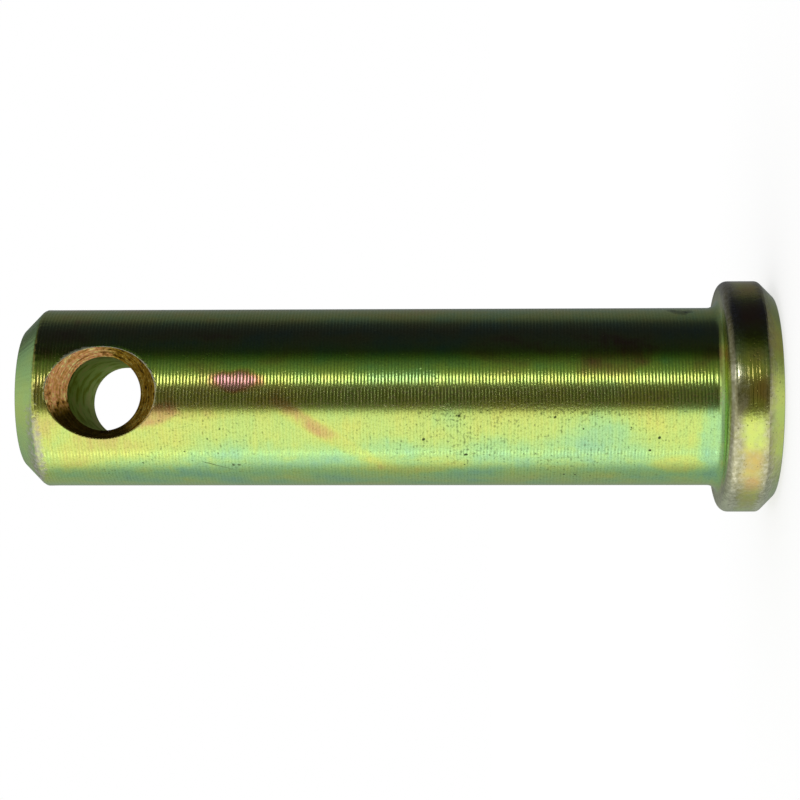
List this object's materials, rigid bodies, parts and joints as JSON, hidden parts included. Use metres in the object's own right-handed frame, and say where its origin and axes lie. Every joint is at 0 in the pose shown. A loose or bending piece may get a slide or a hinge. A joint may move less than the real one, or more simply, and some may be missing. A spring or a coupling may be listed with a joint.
{
  "type": "top link pin",
  "caption": "Headed steel clevis pin with a chamfered free end and a countersunk cross hole, for pinning a tractor's top link to its bracket.",
  "frame": {"origin": "centre of the head's flat outer face, on which the pin stands", "axes": "+Z along the shank from the head to the free end; the cross hole runs along Y, with its countersunk mouth on the -Y side"},
  "size_m": [0.033, 0.033, 0.1072],
  "materials": {
    "yellow_zinc_steel": "lathe-turned steel, yellow zinc plated and passivated to an iridescent yellow-green"
  },
  "bodies": {
    "root": {"pin": "yellow_zinc_steel"}
  },
  "joints": []
}
